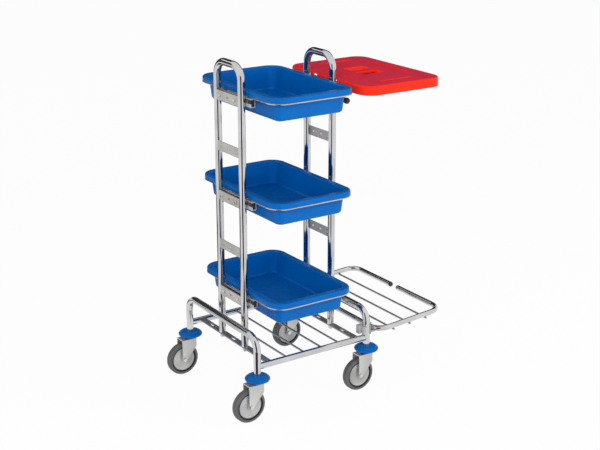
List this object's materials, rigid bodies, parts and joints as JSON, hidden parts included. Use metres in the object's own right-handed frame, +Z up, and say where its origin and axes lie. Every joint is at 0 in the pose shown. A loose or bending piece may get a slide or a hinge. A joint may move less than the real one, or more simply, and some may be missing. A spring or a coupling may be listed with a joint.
{
  "type": "housekeeping trolley",
  "caption": "Chrome tube service trolley on swivel casters with lift-out blue trays, a red-lidded bag ring and a fold-up wire bag platform.",
  "frame": {"origin": "on the floor, under the middle of the trolley's outline", "axes": "+X from the trays to the bag end, +Y from front to rear, +Z up"},
  "size_m": [0.73, 0.462, 1],
  "materials": {
    "chrome_tube": "bright chrome plate",
    "chrome_wire": "bright plated wire",
    "zinc_flat": "satin zinc plate",
    "dull_steel": "dull plated steel",
    "steel_channel": "satin plated steel",
    "clip_grey": "satin light grey",
    "bright_steel": "bright plated steel",
    "zinc_fork": "satin zinc plate",
    "grey_hub": "satin light grey",
    "grey_tyre": "matt grey",
    "blue_tray": "glossy mid blue",
    "blue_bumper": "glossy mid blue",
    "red_lid": "satin red with glossy edges",
    "black_plastic": "satin black"
  },
  "bodies": {
    "frame": {"bag_bar": "chrome_tube", "bag_bar_bolts": "bright_steel", "bag_bar_knobs": "black_plastic", "bag_bar_nuts": "bright_steel", "bag_bar_saddles": "black_plastic", "bag_ring": "chrome_tube", "bag_ring_plates": "bright_steel", "base_hoop_left": "chrome_tube", "base_hoop_right": "chrome_tube", "bumper_front_left": "blue_bumper", "bumper_front_right": "blue_bumper", "bumper_rear_left": "blue_bumper", "bumper_rear_right": "blue_bumper", "caster_seals": "black_plastic", "caster_stems": "bright_steel", "channel_blocks": "black_plastic", "channel_bolts": "bright_steel", "channel_end_plugs": "black_plastic", "channel_nuts": "bright_steel", "cross_strip_left": "dull_steel", "cross_strip_right": "dull_steel", "deck_wires": "dull_steel", "foot_pins": "bright_steel", "front_rail": "chrome_tube", "platform_clips": "clip_grey", "rear_rail": "chrome_tube", "rungs": "zinc_flat", "stem_plugs": "black_plastic", "tray_channels": "steel_channel", "tray_ring_bottom": "chrome_wire", "tray_ring_middle": "chrome_wire", "tray_ring_top": "chrome_wire", "upright_left": "chrome_tube", "upright_right": "chrome_tube"},
    "caster_front_left": {"fork_front_left": "zinc_fork", "axle_front_left": "bright_steel"},
    "wheel_front_left": {"hub_front_left": "grey_hub", "tyre_front_left": "grey_tyre"},
    "caster_rear_left": {"fork_rear_left": "zinc_fork", "axle_rear_left": "bright_steel"},
    "wheel_rear_left": {"hub_rear_left": "grey_hub", "tyre_rear_left": "grey_tyre"},
    "caster_front_right": {"fork_front_right": "zinc_fork", "axle_front_right": "bright_steel"},
    "wheel_front_right": {"hub_front_right": "grey_hub", "tyre_front_right": "grey_tyre"},
    "caster_rear_right": {"fork_rear_right": "zinc_fork", "axle_rear_right": "bright_steel"},
    "wheel_rear_right": {"hub_rear_right": "grey_hub", "tyre_rear_right": "grey_tyre"},
    "bottom_tray": {"tray_bottom": "blue_tray"},
    "middle_tray": {"tray_middle": "blue_tray"},
    "top_tray": {"tray_top": "blue_tray"},
    "bag_lid": {"lid": "red_lid"},
    "platform": {"platform_ring": "chrome_tube", "platform_wires": "dull_steel", "platform_caps": "black_plastic"}
  },
  "joints": [
    {"name": "swivel_front_left", "type": "hinge", "parent": "frame", "child": "caster_front_left", "pos_m": [-0.285, -0.1945, 0.112], "axis": [0, 0, 1], "continuous": true},
    {"name": "roll_front_left", "type": "hinge", "parent": "caster_front_left", "child": "wheel_front_left", "pos_m": [-0.315, -0.1945, 0.05], "axis": [0, 1, 0], "continuous": true},
    {"name": "swivel_rear_left", "type": "hinge", "parent": "frame", "child": "caster_rear_left", "pos_m": [-0.285, 0.1945, 0.112], "axis": [0, 0, 1], "continuous": true},
    {"name": "roll_rear_left", "type": "hinge", "parent": "caster_rear_left", "child": "wheel_rear_left", "pos_m": [-0.315, 0.1945, 0.05], "axis": [0, 1, 0], "continuous": true},
    {"name": "swivel_front_right", "type": "hinge", "parent": "frame", "child": "caster_front_right", "pos_m": [0.097, -0.1945, 0.112], "axis": [0, 0, 1], "continuous": true},
    {"name": "roll_front_right", "type": "hinge", "parent": "caster_front_right", "child": "wheel_front_right", "pos_m": [0.067, -0.1945, 0.05], "axis": [0, 1, 0], "continuous": true},
    {"name": "swivel_rear_right", "type": "hinge", "parent": "frame", "child": "caster_rear_right", "pos_m": [0.097, 0.1945, 0.112], "axis": [0, 0, 1], "continuous": true},
    {"name": "roll_rear_right", "type": "hinge", "parent": "caster_rear_right", "child": "wheel_rear_right", "pos_m": [0.067, 0.1945, 0.05], "axis": [0, 1, 0], "continuous": true},
    {"name": "lift_bottom_tray", "type": "slide", "parent": "frame", "child": "bottom_tray", "axis": [0, 0, 1], "range_m": [0, 0.06]},
    {"name": "lift_middle_tray", "type": "slide", "parent": "frame", "child": "middle_tray", "axis": [0, 0, 1], "range_m": [0, 0.06]},
    {"name": "lift_top_tray", "type": "slide", "parent": "frame", "child": "top_tray", "axis": [0, 0, 1], "range_m": [0, 0.06]},
    {"name": "lid_hinge", "type": "hinge", "parent": "frame", "child": "bag_lid", "pos_m": [0.098, 0, 0.899], "axis": [0, -1, 0], "range_deg": [0, 93]},
    {"name": "platform_fold", "type": "hinge", "parent": "frame", "child": "platform", "pos_m": [0.119, 0, 0.187], "axis": [0, -1, 0], "range_deg": [0, 86]}
  ]
}
